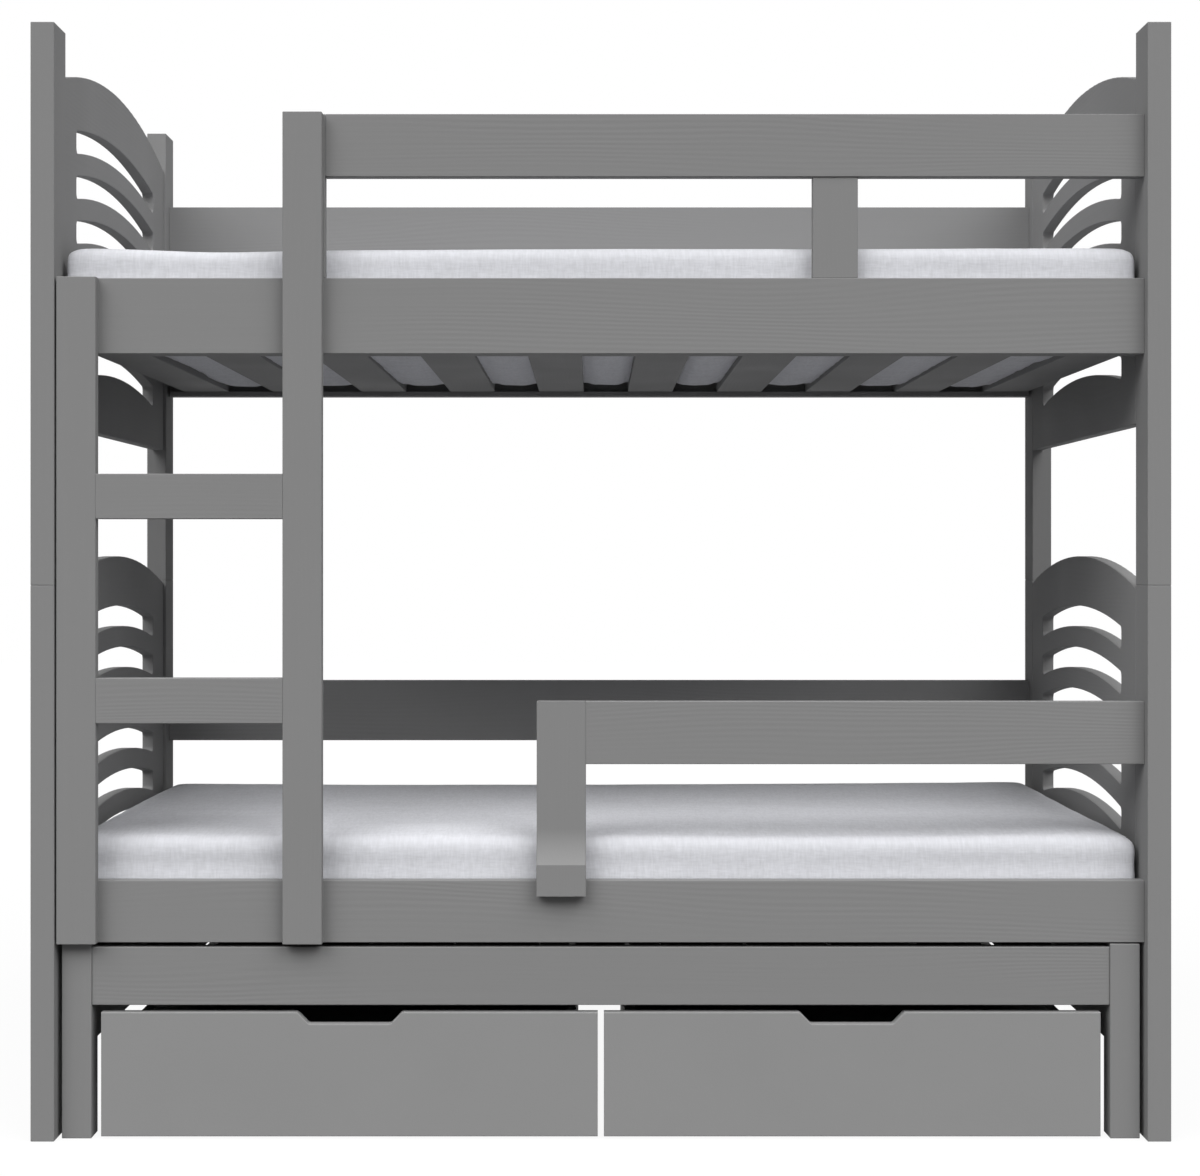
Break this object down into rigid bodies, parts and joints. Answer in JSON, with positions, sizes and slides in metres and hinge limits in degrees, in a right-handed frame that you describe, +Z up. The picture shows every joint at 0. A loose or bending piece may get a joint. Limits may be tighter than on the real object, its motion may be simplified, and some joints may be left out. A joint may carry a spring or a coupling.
{
  "type": "triple bunk bed",
  "caption": "Grey painted triple bunk bed with arched slotted ends, a fixed ladder, guard boards, a low pull-out bed and drawers beneath it.",
  "frame": {"origin": "on the floor, at the middle of the bed's length and depth", "axes": "+X along the bed towards the end without the ladder, +Y from the open front to the back, +Z up"},
  "size_m": [1.68, 0.88, 1.65],
  "materials": {
    "grey_paint": "satin grey paint over solid wood, grain faintly raised",
    "drawer_front_paint": "smooth satin grey paint over board",
    "drawer_board": "grey board, matt",
    "mattress_cover": "white linen-like woven cover",
    "zinc_steel": "zinc plated steel",
    "bare_beech": "unpainted fluted beech",
    "felt_pad": "dense dark felt",
    "wheel_plastic": "black moulded plastic"
  },
  "bodies": {
    "bed_frame": {"lower_front_left_post": "grey_paint", "lower_front_right_post": "grey_paint", "lower_back_left_post": "grey_paint", "lower_back_right_post": "grey_paint", "upper_front_left_post": "grey_paint", "upper_front_right_post": "grey_paint", "upper_back_left_post": "grey_paint", "upper_back_right_post": "grey_paint", "lower_left_end_panel": "grey_paint", "lower_right_end_panel": "grey_paint", "upper_left_end_panel": "grey_paint", "upper_right_end_panel": "grey_paint", "lower_front_rail": "grey_paint", "lower_back_rail": "grey_paint", "upper_front_rail": "grey_paint", "upper_back_rail": "grey_paint", "lower_back_guard": "grey_paint", "upper_back_guard": "grey_paint", "upper_front_guard": "grey_paint", "upper_guard_end_post": "grey_paint", "upper_guard_batten": "grey_paint", "lower_front_guard": "grey_paint", "lower_guard_bracket": "grey_paint", "ladder_left_upright": "grey_paint", "ladder_right_upright": "grey_paint", "ladder_lower_rung": "grey_paint", "ladder_upper_rung": "grey_paint", "slat_ledges": "grey_paint", "lower_slats": "grey_paint", "upper_slats": "grey_paint", "lower_mattress": "mattress_cover", "upper_mattress": "mattress_cover", "post_glides": "felt_pad", "rail_bolts": "zinc_steel", "barrel_nuts": "zinc_steel", "stacking_pins": "zinc_steel", "wood_dowels": "bare_beech", "frame_screws": "zinc_steel"},
    "trundle": {"trundle_left_legs": "grey_paint", "trundle_right_legs": "grey_paint", "trundle_left_side": "grey_paint", "trundle_right_side": "grey_paint", "trundle_front_rail": "grey_paint", "trundle_back_rail": "grey_paint", "trundle_slats": "grey_paint", "trundle_ledges": "grey_paint", "trundle_glides": "felt_pad", "trundle_fasteners": "zinc_steel"},
    "left_drawer": {"left_drawer_front": "drawer_front_paint", "left_drawer_box": "drawer_board", "left_drawer_bottom": "drawer_board", "left_drawer_wheel_brackets": "zinc_steel"},
    "left_drawer_front_wheels": {"left_drawer_front_wheels": "wheel_plastic"},
    "left_drawer_back_wheels": {"left_drawer_back_wheels": "wheel_plastic"},
    "right_drawer": {"right_drawer_front": "drawer_front_paint", "right_drawer_box": "drawer_board", "right_drawer_bottom": "drawer_board", "right_drawer_wheel_brackets": "zinc_steel"},
    "right_drawer_front_wheels": {"right_drawer_front_wheels": "wheel_plastic"},
    "right_drawer_back_wheels": {"right_drawer_back_wheels": "wheel_plastic"}
  },
  "joints": [
    {"name": "trundle_slide", "type": "slide", "parent": "bed_frame", "child": "trundle", "axis": [0, -1, 0], "range_m": [0, 0.75]},
    {"name": "left_drawer_slide", "type": "slide", "parent": "bed_frame", "child": "left_drawer", "axis": [0, -1, 0], "range_m": [0, 0.6]},
    {"name": "left_drawer_front_wheels_spin", "type": "hinge", "parent": "left_drawer", "child": "left_drawer_front_wheels", "pos_m": [-0.3723, -0.345, 0.0153], "axis": [1, 0, 0], "continuous": true},
    {"name": "left_drawer_back_wheels_spin", "type": "hinge", "parent": "left_drawer", "child": "left_drawer_back_wheels", "pos_m": [-0.3723, 0.235, 0.0153], "axis": [1, 0, 0], "continuous": true},
    {"name": "right_drawer_slide", "type": "slide", "parent": "bed_frame", "child": "right_drawer", "axis": [0, -1, 0], "range_m": [0, 0.6]},
    {"name": "right_drawer_front_wheels_spin", "type": "hinge", "parent": "right_drawer", "child": "right_drawer_front_wheels", "pos_m": [0.3723, -0.345, 0.0153], "axis": [1, 0, 0], "continuous": true},
    {"name": "right_drawer_back_wheels_spin", "type": "hinge", "parent": "right_drawer", "child": "right_drawer_back_wheels", "pos_m": [0.3723, 0.235, 0.0153], "axis": [1, 0, 0], "continuous": true}
  ],
  "couplings": [
    {"joint": "left_drawer_front_wheels_spin", "follows": "left_drawer_slide", "rad_per_m": 66.667},
    {"joint": "left_drawer_back_wheels_spin", "follows": "left_drawer_slide", "rad_per_m": 66.667},
    {"joint": "right_drawer_front_wheels_spin", "follows": "right_drawer_slide", "rad_per_m": 66.667},
    {"joint": "right_drawer_back_wheels_spin", "follows": "right_drawer_slide", "rad_per_m": 66.667}
  ]
}
